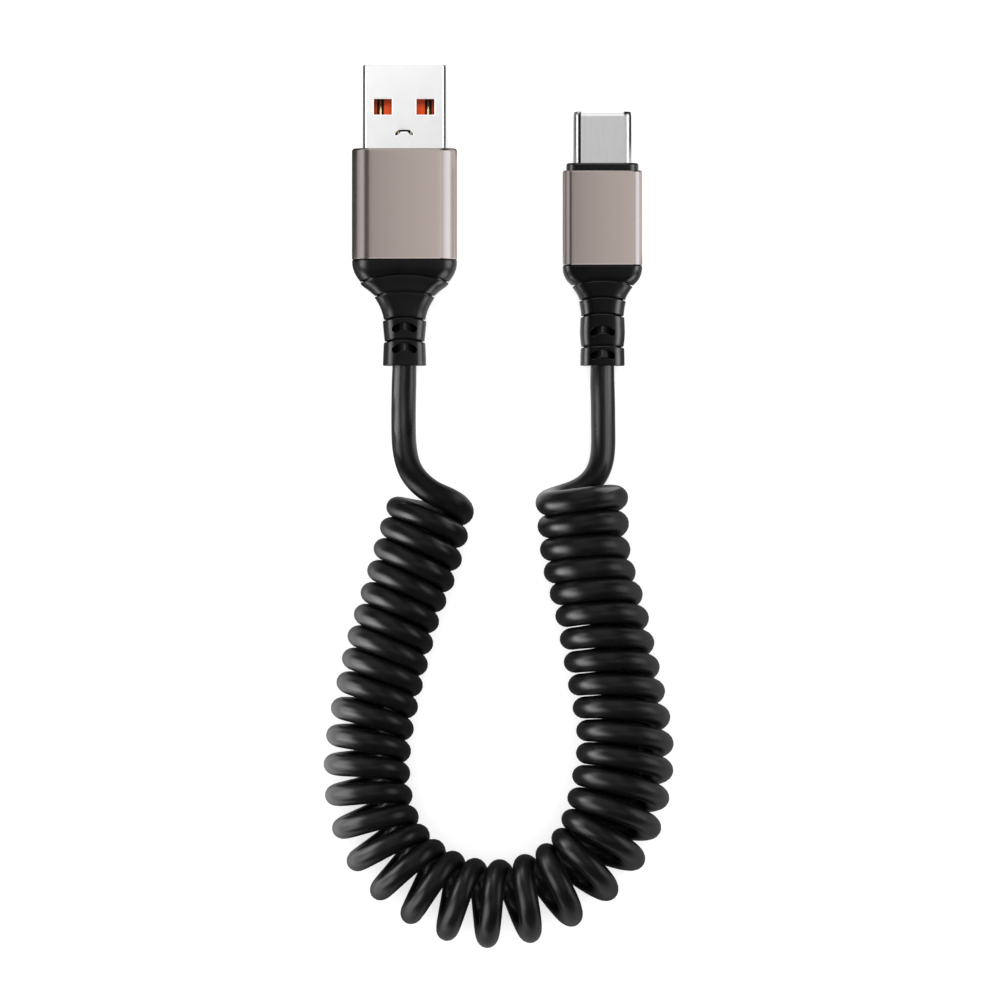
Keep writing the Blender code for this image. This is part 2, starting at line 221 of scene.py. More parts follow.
def band(line, half, rounds=6):
    """The outline of a round-ended band of the given half width along a line."""
    def normal(i):
        a, b = line[max(i - 1, 0)], line[min(i + 1, len(line) - 1)]
        dx, dy = b[0] - a[0], b[1] - a[1]
        size = math.hypot(dx, dy)
        return -dy / size, dx / size

    def end(i, turn):
        nx, ny = normal(i)
        start = math.atan2(turn * ny, turn * nx)
        return [
            (line[i][0] + half * math.cos(start - math.pi * k / rounds), line[i][1] + half * math.sin(start - math.pi * k / rounds))
            for k in range(1, rounds)
        ]

    upper = [(p[0] + half * normal(i)[0], p[1] + half * normal(i)[1]) for i, p in enumerate(line)]
    lower = [(p[0] - half * normal(i)[0], p[1] - half * normal(i)[1]) for i, p in enumerate(line)]
    return upper + end(len(line) - 1, 1) + lower[::-1] + end(0, -1)


def arch(x, y, reach, rise, steps=14):
    return [(x + reach * (2 * i / steps - 1), y + rise * (1 - (2 * i / steps - 1) ** 2)) for i in range(steps + 1)]


def spline(knots, values):
    """A natural cubic spline through values at knots. It is straight outside them."""
    knots, values = np.asarray(knots, float), np.asarray(values, float)
    n = len(knots)
    h = np.diff(knots)
    system, right = np.zeros((n, n)), np.zeros(values.shape)
    system[0, 0] = system[-1, -1] = 1.0
    for i in range(1, n - 1):
        system[i, i - 1 : i + 2] = h[i - 1], 2 * (h[i - 1] + h[i]), h[i]
        right[i] = 6 * ((values[i + 1] - values[i]) / h[i] - (values[i] - values[i - 1]) / h[i - 1])
    bend = np.linalg.solve(system, right)

    def at(t):
        t = np.atleast_1d(np.asarray(t, float))
        i = np.clip(np.searchsorted(knots, t) - 1, 0, n - 2)
        a, b = ((knots[i + 1] - t) / h[i])[:, None], ((t - knots[i]) / h[i])[:, None]
        h2 = (h[i] ** 2 / 6)[:, None]
        inside = a * values[i] + b * values[i + 1] + h2 * ((a**3 - a) * bend[i] + (b**3 - b) * bend[i + 1])
        low = (values[1] - values[0]) / h[0] - h[0] * bend[1] / 6
        high = (values[-1] - values[-2]) / h[-1] + h[-1] * bend[-2] / 6
        inside = np.where((t < knots[0])[:, None], values[0] + (t - knots[0])[:, None] * low, inside)
        return np.where((t > knots[-1])[:, None], values[-1] + (t - knots[-1])[:, None] * high, inside)

    return at


# ------------------------------------------------------------------- materials
def nodes_of(name):
    mat = bpy.data.materials.new(name)
    mat.use_nodes = True
    tree = mat.node_tree
    return mat, tree.nodes, tree.links, tree.nodes["Principled BSDF"]


def noise(nodes, links, scale, detail=3.0, stretch=(1, 1, 1), rough=0.55):
    where = nodes.new("ShaderNodeTexCoord")
    move = nodes.new("ShaderNodeMapping")
    move.inputs["Scale"].default_value = stretch
    tex = nodes.new("ShaderNodeTexNoise")
    tex.inputs["Scale"].default_value = scale
    tex.inputs["Detail"].default_value = detail
    tex.inputs["Roughness"].default_value = rough
    links.new(where.outputs["Object"], move.inputs["Vector"])
    links.new(move.outputs["Vector"], tex.inputs["Vector"])
    return tex.outputs["Fac"]


def spread(nodes, links, source, low, high, span=(0.3, 0.7)):
    ramp = nodes.new("ShaderNodeMapRange")
    ramp.inputs["From Min"].default_value, ramp.inputs["From Max"].default_value = span
    ramp.inputs["To Min"].default_value, ramp.inputs["To Max"].default_value = low, high
    links.new(source, ramp.inputs["Value"])
    return ramp.outputs["Result"]


def blend_colour(nodes, links, source, one, two, span=(0.3, 0.7)):
    ramp = nodes.new("ShaderNodeValToRGB")
    ramp.color_ramp.elements[0].position, ramp.color_ramp.elements[1].position = span
    ramp.color_ramp.elements[0].color = (*one, 1)
    ramp.color_ramp.elements[1].color = (*two, 1)
    links.new(source, ramp.inputs["Fac"])
    return ramp.outputs["Color"]


def bump(nodes, links, shader, height, strength, distance):
    node = nodes.new("ShaderNodeBump")
    node.inputs["Strength"].default_value = strength
    node.inputs["Distance"].default_value = distance
    links.new(height, node.inputs["Height"])
    links.new(node.outputs["Normal"], shader.inputs["Normal"])


def rubber(name, dark, light, rough, ior, smoother=0.0):
    """Satin black elastomer: faint blotches in colour and sheen, a fine matt skin.
    The cord is smoother where it is straight, beyond the coil's ends."""
    mat, nodes, links, shader = nodes_of(name)
    broad = noise(nodes, links, 260, 3)
    fine = noise(nodes, links, 5200, 2)
    links.new(blend_colour(nodes, links, broad, dark, light), shader.inputs["Base Color"])
    sheen = spread(nodes, links, broad, rough - 0.03, rough + 0.04)
    if smoother:
        where = nodes.new("ShaderNodeTexCoord")
        split = nodes.new("ShaderNodeSeparateXYZ")
        links.new(where.outputs["Object"], split.inputs["Vector"])
        less = nodes.new("ShaderNodeMath")
        less.operation = "SUBTRACT"
        links.new(sheen, less.inputs[0])
        links.new(spread(nodes, links, split.outputs["Y"], 0, smoother, (-44 * MM, -36 * MM)), less.inputs[1])
        sheen = less.outputs["Value"]
        # it is duller where it bends into the coil's left end
        zone = spread(nodes, links, split.outputs["Y"], 0, 1, (-32.5 * MM, -36 * MM))
        for axis, low, high in (("Y", -43.5, -42.0), ("X", -2.0, -4.0), ("Z", 5.5, 7.0)):
            both = nodes.new("ShaderNodeMath")
            both.operation = "MULTIPLY"
            links.new(zone, both.inputs[0])
            links.new(spread(nodes, links, split.outputs[axis], 0, 1, (low * MM, high * MM)), both.inputs[1])
            zone = both.outputs["Value"]
        links.new(spread(nodes, links, zone, 0.5, 0.17, (0, 1)), shader.inputs["Specular IOR Level"])
    links.new(sheen, shader.inputs["Roughness"])
    shader.inputs["IOR"].default_value = ior
    bump(nodes, links, shader, fine, 0.18, 0.00002)
    return mat


def plastic(name, one, two, rough, ior=1.5):
    mat, nodes, links, shader = nodes_of(name)
    broad = noise(nodes, links, 700, 3)
    fine = noise(nodes, links, 6000, 2)
    links.new(blend_colour(nodes, links, broad, one, two), shader.inputs["Base Color"])
    links.new(spread(nodes, links, fine, rough - 0.04, rough + 0.04), shader.inputs["Roughness"])
    shader.inputs["IOR"].default_value = ior
    bump(nodes, links, shader, fine, 0.1, 0.00001)
    return mat


def metal(name, one, two, rough, scale=1400, stretch=(1, 1, 1), relief=0.05, vary=0.15):
    mat, nodes, links, shader = nodes_of(name)
    grain = noise(nodes, links, scale, 4, stretch, 0.65)
    links.new(blend_colour(nodes, links, grain, one, two), shader.inputs["Base Color"])
    links.new(spread(nodes, links, grain, rough * (1 - vary), rough * (1 + vary)), shader.inputs["Roughness"])
    shader.inputs["Metallic"].default_value = 1.0
    bump(nodes, links, shader, grain, relief, 0.00001)
    return mat


def insulator(name):
    """Orange moulding with painted shade: darker towards its outer sides, dark brown low in its channels and near
    black deep inside the shell.
    """
    mat, nodes, links, shader = nodes_of(name)
    where = nodes.new("ShaderNodeTexCoord")
    split = nodes.new("ShaderNodeSeparateXYZ")
    links.new(where.outputs["Object"], split.inputs["Vector"])

    def share(axis, low, high):
        return spread(nodes, links, split.outputs[axis], 0, 1, (low * MM, high * MM))

    def mixed(factor, one, two):
        mix = nodes.new("ShaderNodeMix")
        mix.data_type = "RGBA"
        links.new(factor, mix.inputs["Factor"])
        for socket, value in (("A", one), ("B", two)):
            if isinstance(value, tuple):
                mix.inputs[socket].default_value = (*value, 1)
            else:
                links.new(value, mix.inputs[socket])
        return mix.outputs["Result"]

    apart = nodes.new("ShaderNodeMath")
    apart.operation = "SUBTRACT"
    links.new(split.outputs["X"], apart.inputs[0])
    apart.inputs[1].default_value = A_X * MM
    size = nodes.new("ShaderNodeMath")
    size.operation = "ABSOLUTE"
    links.new(apart.outputs["Value"], size.inputs[0])
    # painted shade: the orange turns a darker red towards the outer sides, away from the middle
    shade_outward = spread(nodes, links, size.outputs["Value"], 0, 1, (2.6 * MM, 4.4 * MM))
    broad = noise(nodes, links, 700, 3)
    unshaded_orange = blend_colour(nodes, links, broad, (0.80, 0.075, 0.008), (0.92, 0.105, 0.014))
    shaded_orange = blend_colour(nodes, links, broad, (0.40, 0.030, 0.008), (0.48, 0.045, 0.012))
    colour = mixed(shade_outward, unshaded_orange, shaded_orange)
    # painted shade: dark brown low in the channels, below the top face
    colour = mixed(share("Z", A_Z - 0.12, A_Z + 0.03), (0.075, 0.026, 0.004), colour)
    # painted shadow: near black deep inside the shell, behind 13.4 mm along Y
    colour = mixed(share("Y", 13.4, 13.9), (0.035, 0.033, 0.032), colour)
    links.new(colour, shader.inputs["Base Color"])
    shader.inputs["Roughness"].default_value = 0.45
    shader.inputs["IOR"].default_value = 1.4
    bump(nodes, links, shader, noise(nodes, links, 6000, 2), 0.1, 0.00001)
    return mat


CORD = rubber("cord_elastomer", (0.0040, 0.0040, 0.0041), (0.0062, 0.0062, 0.0063), 0.34, 1.5, 0.05)
BOOT = rubber("boot_elastomer", (0.0018, 0.0018, 0.0019), (0.0030, 0.0030, 0.0031), 0.31, 1.5)
BLACK = plastic("black_moulding", (0.006, 0.006, 0.006), (0.010, 0.010, 0.010), 0.28)
ORANGE = insulator("orange_moulding")
TAUPE = metal("taupe_anodised", (0.422, 0.358, 0.332), (0.431, 0.367, 0.341), 0.26, 900, (6, 0.35, 6), 0.003, 0.03)
EDGE = metal("lighter_rear_edge", (0.50, 0.44, 0.42), (0.55, 0.49, 0.47), 0.20, 2600, (1, 1, 1), 0.02)
BRIGHT = metal("bright_nickel", (0.90, 0.90, 0.905), (0.95, 0.95, 0.95), 0.17, 700, (1, 1, 1), 0.03)
STEEL = metal("plain_steel", (0.53, 0.53, 0.53), (0.57, 0.57, 0.57), 0.18, 900, (5, 0.5, 5), 0.03)
GOLD = metal("gold_flash", (0.78, 0.60, 0.30), (0.90, 0.74, 0.44), 0.22, 2600, (1, 1, 1), 0.03)


# ------------------------------------------------------------------------ cord
def coil_rails():
    knots = [2.0 * i for i in range(len(TURNS) - 1)] + [37.0]
    return spline(knots, TURNS)


RAILS = coil_rails()


def on_helix(t):
    """Points of the cord's middle at turn t, and the coil's direction there."""
    t = np.atleast_1d(np.asarray(t, float))
    value = RAILS(t)
    outer, inner = value[:, :2], value[:, 2:]
    middle, half = (outer + inner) / 2, (outer - inner) / 2
    radius = np.linalg.norm(half, axis=1)
    turn = 2 * np.pi * t
    lean = radius * np.sin(turn) * np.interp(t, (34.0, 36.2), (1.0, 0.1))  # the last turns stand straighter
    flat = middle + np.cos(turn)[:, None] * half + lean[:, None] * np.array(LEAN)
    height = CORD_R + radius + radius * np.sin(turn)
    ahead, behind = RAILS(t + 0.4), RAILS(t - 0.4)
    along = (ahead[:, :2] + ahead[:, 2:] - behind[:, :2] - behind[:, 2:]) / 2
    along /= np.linalg.norm(along, axis=1)[:, None]
    return np.c_[flat, height], np.c_[along, np.zeros(len(t))]


def through(points, spacing):
    """Evenly spaced points on a smooth curve through the given ones."""
    points = np.asarray(points, float)
    reach = np.r_[0, np.cumsum(np.linalg.norm(np.diff(points, axis=0), axis=1) ** 0.75)]
    curve = spline(reach, points)
    dense = curve(np.linspace(0, reach[-1], 1200))
    run = np.r_[0, np.cumsum(np.linalg.norm(np.diff(dense, axis=0), axis=1))]
    count = max(8, int(run[-1] / spacing))
    want = np.linspace(0, run[-1], count + 1)
    return np.stack([np.interp(want, run, dense[:, k]) for k in range(3)], 1)


def cord_line(per_turn=44):
    """The whole centreline, plug to plug, with how much each point is wound."""
    joint_a, _ = on_helix(np.arange(-0.50, FIRST_TURN + 0.01, 0.05))
    start = through(np.r_[np.array(LEAD_A), joint_a], 0.5)
    turns = np.arange(FIRST_TURN, LAST_TURN, 1 / per_turn)[1:]
    wound, along = on_helix(turns)
    joint_c, _ = on_helix(np.arange(36.2, LAST_TURN - 0.05, 0.05))
    finish = through(np.r_[joint_c, np.array(LEAD_C)], 0.5)
    keep = turns < 36.2 - 0.5 / per_turn
    wound, along, turns = wound[keep], along[keep], turns[keep]
    line = np.r_[start, wound, finish]
    direction = np.r_[np.repeat(along[:1], len(start), 0), along, np.repeat(along[-1:], len(finish), 0)]
    weight = np.ones(len(line))
    weight[: len(start)] = np.clip(np.linspace(-6.5, 1, len(start)), 0, 1)
    weight[-len(finish) :] = np.clip(np.linspace(1, -6.5, len(finish)), 0, 1)
    # the last turns on the right are less flattened where they touch
    weight[len(start) : len(start) + len(turns)] *= 1 - 0.6 * np.clip((turns - 30.5) / 2, 0, 1)
    weight[-len(finish) :] *= 0.4
    return line, direction, weight


def make_cord(sides=20, squeeze=0.915):
    line, direction, weight = cord_line()
    tangent = np.gradient(line, axis=0)
    tangent /= np.linalg.norm(tangent, axis=1)[:, None]
    normal = np.array([0.0, 0.0, 1.0])
    rings = []
    angles = 2 * np.pi * np.arange(sides) / sides
    for i, t in enumerate(tangent):
        normal = normal - t * normal.dot(t)
        normal /= np.linalg.norm(normal)
        side = np.cross(t, normal)
        free = min(max((-22.2 - line[i][1]) / 2, 0), 1) * (1 - weight[i])
        offset = (CORD_R + 0.04 * free) * (np.cos(angles)[:, None] * normal + np.sin(angles)[:, None] * side)
        axis = direction[i] - t * direction[i].dot(t)
        axis /= np.linalg.norm(axis)
        offset -= (1 - squeeze) * weight[i] * offset.dot(axis)[:, None] * axis
        rings.append(line[i] + offset)
    verts = np.concatenate(rings) * MM
    verts[:, 2] = np.maximum(verts[:, 2], 0.0)
    count = len(rings)
    faces = []
    for i in range(count - 1):
        for k in range(sides):
            m = (k + 1) % sides
            faces.append((i * sides + k, i * sides + m, (i + 1) * sides + m, (i + 1) * sides + k))
    faces.append(tuple(range(sides))[::-1])
    faces.append(tuple((count - 1) * sides + k for k in range(sides)))
    mesh = bpy.data.meshes.new("cord")
    mesh.from_pydata(verts.tolist(), [], faces)
    bm = bmesh.new()
    bm.from_mesh(mesh)
    bmesh.ops.recalc_face_normals(bm, faces=bm.faces)
    bm.to_mesh(mesh)
    bm.free()
    obj = new_object("cord", mesh, [CORD], 60)
    path = line * MM
    length = float(np.linalg.norm(np.diff(path, axis=0), axis=1).sum())
    return obj, path, length


# ------------------------------------------------------------- strain reliefs
GROOVE_W, GROOVE_D, GROOVE_E = 0.20, 0.34, 0.12

# Each part of a boot: (y at its upper edge, y at its lower edge, bow above,
# bow below, half widths, half thicknesses, corner radii), in mm
A_BOOT = (
    (-6.46, -9.60, 0.00, 1.16, (7.60, 7.56, 7.36, 6.98, 6.42), (3.98, 3.96, 3.90, 3.78, 3.58), (2.6, 2.3)),
    (-9.80, -11.64, 1.14, 0.64, (6.46, 6.02, 5.38, 4.80, 4.30), (3.52, 3.46, 3.38, 3.32, 3.26), (2.25, 1.95)),
    (-11.84, -15.12, 0.62, 0.46, (4.36, 3.86, 3.46, 3.18, 3.00), (3.24, 3.12, 3.02, 2.94, 2.88), (1.95, 1.8)),
    (-15.32, -18.26, 0.45, 0.41, (3.16, 3.10, 3.03, 2.96, 2.88), (2.92, 2.91, 2.90, 2.88, 2.86), (1.8, 1.75)),
    (-18.46, -21.76, 0.40, 0.00, (3.00, 3.05, 3.08, 3.11, 3.14), (2.90, 2.91, 2.92, 2.93, 2.94), (1.75, 1.8)),
)
C_BOOT = (
    (-7.29, -10.10, 0.00, 0.82, (5.76, 5.72, 5.54, 5.14, 4.46), (3.24, 3.22, 3.18, 3.12, 3.00), (1.4, 1.9)),
    (-10.30, -12.22, 0.80, 0.50, (4.40, 4.06, 3.74, 3.48, 3.30), (2.98, 2.94, 2.91, 2.89, 2.87), (1.9, 1.85)),
    (-12.42, -14.58, 0.50, 0.50, (3.40, 3.28, 3.19, 3.12, 3.06), (2.90, 2.89, 2.88, 2.87, 2.86), (1.85, 1.8)),
    (-14.78, -19.02, 0.50, 0.28, (3.18, 3.22, 3.25, 3.20, 3.06), (2.90, 2.92, 2.93, 2.91, 2.88), (1.8, 1.75)),
    (-19.22, -21.76, 0.27, 0.00, (3.16, 3.18, 3.20, 3.21, 3.22), (2.90, 2.91, 2.92, 2.93, 2.93), (1.8, 1.8)),
)
SLOT_REACH, SLOT_RISE, SLOT_R = 1.36, 0.46, 0.48
A_SLOTS, C_SLOTS = (-16.48, -19.50), (-16.98, -20.36)


def make_boot(name, parts, x, z, slots, top_of_bore):
    rings = []
    corner, across, upright = 9, 17, 3

    def add(y, hw, ht, r, bow, inset):
        section = rounded(hw - inset, ht - inset, r - inset * 0.6, corner, across, upright)
        rings.append(ring(section, y, x, z, bow, hw, 0.036 * hw))

    last = len(parts) - 1
    for n, (top, low, bow0, bow1, widths, thick, radii) in enumerate(parts):
        f = np.linspace(0, 1, len(widths))
        shape = spline(f, np.stack([widths, thick], 1))
        arcs = 5
        rows = []
        for k in range(arcs + 1):  # the rounded upper edge
            a = math.pi / 2 * k / arcs
            rows.append((GROOVE_E * (1 - math.sin(a)), top - GROOVE_E * (1 - math.cos(a)) * 1.0))
        for k in range(1, 12):
            rows.append((0.0, top - GROOVE_E + (low - top + 2 * GROOVE_E) * k / 12))
        for k in range(arcs, -1, -1):  # the rounded lower edge
            a = math.pi / 2 * k / arcs
            rows.append((GROOVE_E * (1 - math.sin(a)), low + GROOVE_E * (1 - math.cos(a))))
        if n:
            add(top, *shape_at(shape, 0), radii[0], bow0, GROOVE_D)
        for inset, y in rows:
            g = (top - y) / (top - low)
            w, t = shape_at(shape, g)
            add(y, w, t, radii[0] + (radii[1] - radii[0]) * g, bow0 + (bow1 - bow0) * g, inset)
        if n != last:
            add(low, *shape_at(shape, 1), radii[1], bow1, GROOVE_D)
    obj = loft(name, rings, [BOOT], smooth=40)
    tail = min(point[1] for point in rings[-1])
    circle = [(1.78 * math.cos(2 * math.pi * k / 32), 1.78 * math.sin(2 * math.pi * k / 32)) for k in range(32)]
    cutters = [
        cut(obj, loft(name + "_bore", [[(x + u, y, z + v) for u, v in circle] for y in (tail - 1, top_of_bore)], []))
    ]
    for y in slots:
        line = arch(x, y, SLOT_REACH, SLOT_RISE)
        face = z + 2.91
        cutters.append(cut(obj, prism(name + "_slot_below", [(band(line, SLOT_R), z - 4.5), (band(line, SLOT_R), z - 1.6)])))
        steps = [(band(line, SLOT_R), z - 1.1), (band(line, SLOT_R), face - 0.13)]
        for k in range(1, 5):  # a small rounded lip
            a = math.pi / 2 * k / 4
            steps.append((band(line, SLOT_R + 0.13 * (1 - math.cos(a))), face - 0.13 + 0.13 * math.sin(a)))
        steps.append((band(line, SLOT_R + 0.13), face + 1.5))
        cutters.append(cut(obj, prism(name + "_slot", steps)))
    return settle(obj, cutters, 40)


def shape_at(shape, g):
    value = shape(np.array([min(max(g, 0.0), 1.0)]))[0]
    return float(value[0]), float(value[1])


# ------------------------------------------------------------------------ plugs
def swept(name, profile, hw, ht, r, x, z, mats, corner=12, across=0, crown=0.0, wrap=True, slots=None, smooth=25.0):
    """A ring-shaped body: each profile point is (inset from the outer section, y)."""
    rings = [
        ring(rounded(hw - inset, ht - inset, r - inset, corner, across), y, x, z, 0.0, hw, crown)
        for inset, y in profile
    ]
    return loft(name, rings, mats, wrap=wrap, slots=slots, smooth=smooth)


def make_sleeve(name, front, rear, hw, ht, r, wall, x, z, rim):
    """An extruded sleeve: its front rim is rounded, its rear edge bevel has a lighter metal colour."""
    bevel = 0.20
    inner = wall - 0.06
    profile, slots = [(wall, rear), (wall, front - 0.06)], [0, 0]
    steps = 6
    profile.append((inner, front))
    slots.append(0)
    for k in range(steps + 1):
        a = math.pi / 2 * k / steps
        profile.append((rim * (1 - math.sin(a)), front - rim * (1 - math.cos(a))))
        slots.append(0)
    for k in range(4):
        a = math.pi / 2 * k / 3 * 0.75
        profile.append((bevel * (1 - math.cos(a)), rear + bevel * (1 - math.sin(a))))
        slots.append(1)
    slots[-5] = 0
    profile.append((bevel, rear))
    slots.append(0)
    return weigh(swept(name, profile, hw, ht, r, x, z, [TAUPE, EDGE], corner=14, across=24, crown=0.18, slots=slots, smooth=35))


def make_shell_a():
    front, rear = 21.76, 3.4
    profile = [(0.3, rear), (0.3, front - 0.1), (0.24, front - 0.03), (0.17, front), (0.10, front), (0.03, front - 0.04), (0.0, front - 0.12), (0.0, rear)]
    shell = swept("shell_a", profile, 6.0, 2.25, 0.55, A_X, A_Z, [BRIGHT], corner=8, across=0)
    cutters = []
    face, sunk, lip = A_Z + 2.25, 0.05, 0.13

    def opening(x, y, grow):
        return [(x + 1.31 + grow, y - 1.15 - grow), (x + 1.31 + grow, y + 1.15 + grow), (x - 1.31 - grow, y + 1.15 + grow), (x - 1.31 - grow, y - 1.15 - grow)]

    for offset in (-3.13, 3.04):
        steps = [(opening(A_X + offset, 15.71, grow), z) for grow, z in ((0, A_Z - 4), (0, face - sunk), (lip, face), (lip, face + 1))]
        cutters.append(cut(shell, prism("window", steps)))
    line = [(-1.20, 11.74), (-0.96, 11.96), (-0.76, 12.15), (-0.56, 12.25), (-0.04, 12.26), (0.48, 12.25), (0.68, 12.15), (0.88, 11.96), (1.12, 11.74)]
    line = [(A_X + u, v) for u, v in line]
    steps = [(band(line, 0.155 + grow), z) for grow, z in ((0, A_Z + 1.5), (0, face - sunk), (lip, face), (lip, face + 1))]
    cutters.append(cut(shell, prism("slit", steps)))
    cutters.append(cut(shell, box("seam", (A_X - 0.05, A_X + 0.05), (rear - 1, front + 1), (A_Z - 3, A_Z - 2.1))))
    return weigh(settle(shell, cutters, 25))


def make_tongue_a():
    floor, roof, half = A_Z - 2.25 + 0.5, A_Z + 1.75, 5.5
    top = A_Z + 0.05
    tip, step, back = 21.26, 9.0, 3.5
    outline = [(tip, floor + 0.15), (tip, top - 0.25), (tip - 0.25, top), (step, top), (step, roof), (back, roof), (back, floor), (tip - 0.15, floor)]
    tongue = loft("tongue_a", [[(A_X + u, y, z) for y, z in outline] for u in (-half, half)], [ORANGE])
    cutters = []
    for u in (-3.5, -1.0, 1.0, 3.44):
        cutters.append(cut(tongue, box("channel", (A_X + u - 0.49, A_X + u + 0.49), (step + 0.3, tip - 0.7), (top - 0.85, top + 1))))
    return settle(tongue, cutters, 25)


def make_contacts_a():
    """Spring strips in the insulator's channels, bent down towards the tip."""
    made = []
    top = A_Z + 0.05
    line = [(9.4, top - 0.22), (15.3, top - 0.20), (15.8, top - 0.24), (16.1, top - 0.34), (16.4, top - 0.50), (16.8, top - 0.62), (20.3, top - 0.68)]
    for n, u in enumerate((-3.5, -1.0, 1.0, 3.44)):
        rings = []
        for y, z in line:
            w, t = 0.22, 0.10
            section = [(w, -t), (w, t * 0.4), (w * 0.7, t * 0.85), (0, t), (-w * 0.7, t * 0.85), (-w, t * 0.4), (-w, -t)]
            rings.append([(A_X + u + a, y, z + b) for a, b in section])
        made.append(loft(f"contact_a_{n + 1}", rings, [GOLD], smooth=50))
    return made


def make_shell_c():
    front, rear = 15.13, 3.2
    profile = [(0.28, rear), (0.28, front - 0.1), (0.24, front - 0.03), (0.20, front), (0.17, front), (0.12, front - 0.05), (0.085, front - 0.14)]
    profile += [(0.05, front - 0.26), (0.025, front - 0.40), (0.008, front - 0.56), (0.0, front - 0.75), (0.0, rear)]
    return weigh(swept("shell_c", profile, 4.21, 1.25, 1.24, C_X, C_Z, [STEEL], corner=16, across=0))


def make_insulator_c():
    y = 15.13 - 0.45
    lining = rounded(3.84, 0.88, 0.87, 10)
    slot = rounded(3.45, 0.475, 0.25, 10)
    rings = [
        ring(lining, 3.3, C_X, C_Z), ring(lining, y - 0.1, C_X, C_Z), ring(rounded(3.76, 0.80, 0.79, 10), y, C_X, C_Z),
        ring(rounded(3.53, 0.555, 0.33, 10), y, C_X, C_Z), ring(slot, y - 0.12, C_X, C_Z), ring(slot, y - 5.7, C_X, C_Z),
    ]
    return loft("insulator_c", rings, [BLACK], smooth=30)


def make_contacts_c():
    """Two facing rows of twelve narrow strips inside the slot."""
    verts, faces = [], []
    for side in (-1, 1):
        for k in range(12):
            u = C_X + (k - 5.5) * 0.5
            low, high = C_Z + side * 0.36, C_Z + side * 0.50
            base = len(verts)
            for y in (10.2, 14.15):
                for v, dz in ((-0.13, low), (0.13, low), (0.13, high), (-0.13, high)):
                    verts.append(((u + v) * MM, y * MM, dz * MM))
            faces += [tuple(base + i for i in f) for f in ((0, 1, 2, 3), (7, 6, 5, 4), (0, 4, 5, 1), (1, 5, 6, 2), (2, 6, 7, 3), (3, 7, 4, 0))]
    mesh = bpy.data.meshes.new("contacts_c")
    mesh.from_pydata(verts, [], faces)
    bm = bmesh.new()
    bm.from_mesh(mesh)
    bmesh.ops.recalc_face_normals(bm, faces=bm.faces)
    bm.to_mesh(mesh)
    bm.free()
    return new_object("contacts_c", mesh, [GOLD])


def make_mould(name, x, z, rear, front, hw, ht, r, pocket, pocket_end, edge):
    rings = [ring(rounded(hw, ht, r, 10), rear, x, z)]
    for k in range(6):
        a = math.pi / 2 * k / 5
        inset = edge * (1 - math.cos(a))
        rings.append(ring(rounded(hw - inset, ht - inset, r - inset, 10), front - edge + edge * math.sin(a), x, z))
    rings.append(ring(rounded(*pocket, 10), front, x, z))
    rings.append(ring(rounded(*pocket, 10), pocket_end, x, z))
    return loft(name, rings, [BLACK], smooth=30)


GROUPS = {
    "shell_a": ("shell_a", "contact_a_1", "contact_a_2", "contact_a_3", "contact_a_4"),
    "sleeve_a": ("sleeve_a",),
    "shell_c": ("shell_c", "contacts_c"),
    "sleeve_c": ("sleeve_c",),
    "cord": ("cord",),
    "boot_a": ("boot_a", "mould_a"),
    "boot_c": ("boot_c", "mould_c", "insulator_c"),
    "orange": ("tongue_a",),
    "floor": (),
}


def main_pieces():
    made = {}

    def put(piece, nodes):
        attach(piece, "root")
        if nodes:
            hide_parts(*nodes)
        made[piece.name] = piece
        return piece

    cord, path, length = make_cord()
    put(cord, ("cord_lead_a", "cord_coil", "cord_lead_c"))
    put(make_shell_a(), ("usb_a_shell",))
    put(make_tongue_a(), ("usb_a_tongue",))
    for n, strip in enumerate(make_contacts_a()):
        put(strip, (f"usb_a_contact_{n + 1}",))
    put(make_mould("mould_a", A_X, A_Z, -6.40, 9.34, 6.925, 3.3, 1.9, (6.2, 2.45, 0.8), 3.2, 0.15), ("usb_a_inner_mould",))
    put(make_sleeve("sleeve_a", 9.69, -6.40, 7.625, 4.0, 2.6, 0.5, A_X, A_Z, 0.40), ("usb_a_housing",))
    put(make_boot("boot_a", A_BOOT, A_X, A_Z, A_SLOTS, -14.6), ("usb_a_boot",))

    plug = [
        put(make_shell_c(), ("usb_c_shell",)),
        put(make_insulator_c(), ("usb_c_insulator",)),
        put(make_contacts_c(), ()),
        put(make_mould("mould_c", C_X, C_Z, -7.23, 7.62, 5.23, 2.73, 1.7, (4.41, 1.45, 1.44), 3.0, 0.3), ("usb_c_inner_mould",)),
        put(make_sleeve("sleeve_c", 6.52, -7.23, 5.76, 3.25, 1.35, 0.33, C_X, C_Z, 0.24), ("usb_c_housing",)),
        put(make_boot("boot_c", C_BOOT, C_X, C_Z, C_SLOTS, -14.9), ("usb_c_boot",)),
    ]
    print("cord length", round(length, 4))
    return made


# ----------------------------------------------------------- camera and lights
def make_camera():
    """Straight down on the cable, far off through a long lens."""
    data = bpy.data.cameras.new("camera")
    camera = bpy.data.objects.new("camera", data)
    bpy.context.scene.collection.objects.link(camera)
    reach = 1.2
    width = 1002 * SCALE
    data.sensor_width = 36.0
    data.lens = 36.0 * reach / width
    data.clip_start, data.clip_end = 0.05, 20.0
    camera.location = ((501 - 497.15) * SCALE, (215.55 - 501) * SCALE, reach + 0.005)
    camera.rotation_euler = (0, 0, 0)
    bpy.context.scene.camera = camera


LIT = {}


def lit_group(name, pieces):
    """Pieces that a set of soft boxes shines on."""
    group = bpy.data.collections.new("lit_" + name)
    for piece in pieces:
        group.objects.link(piece)
    LIT[name] = group


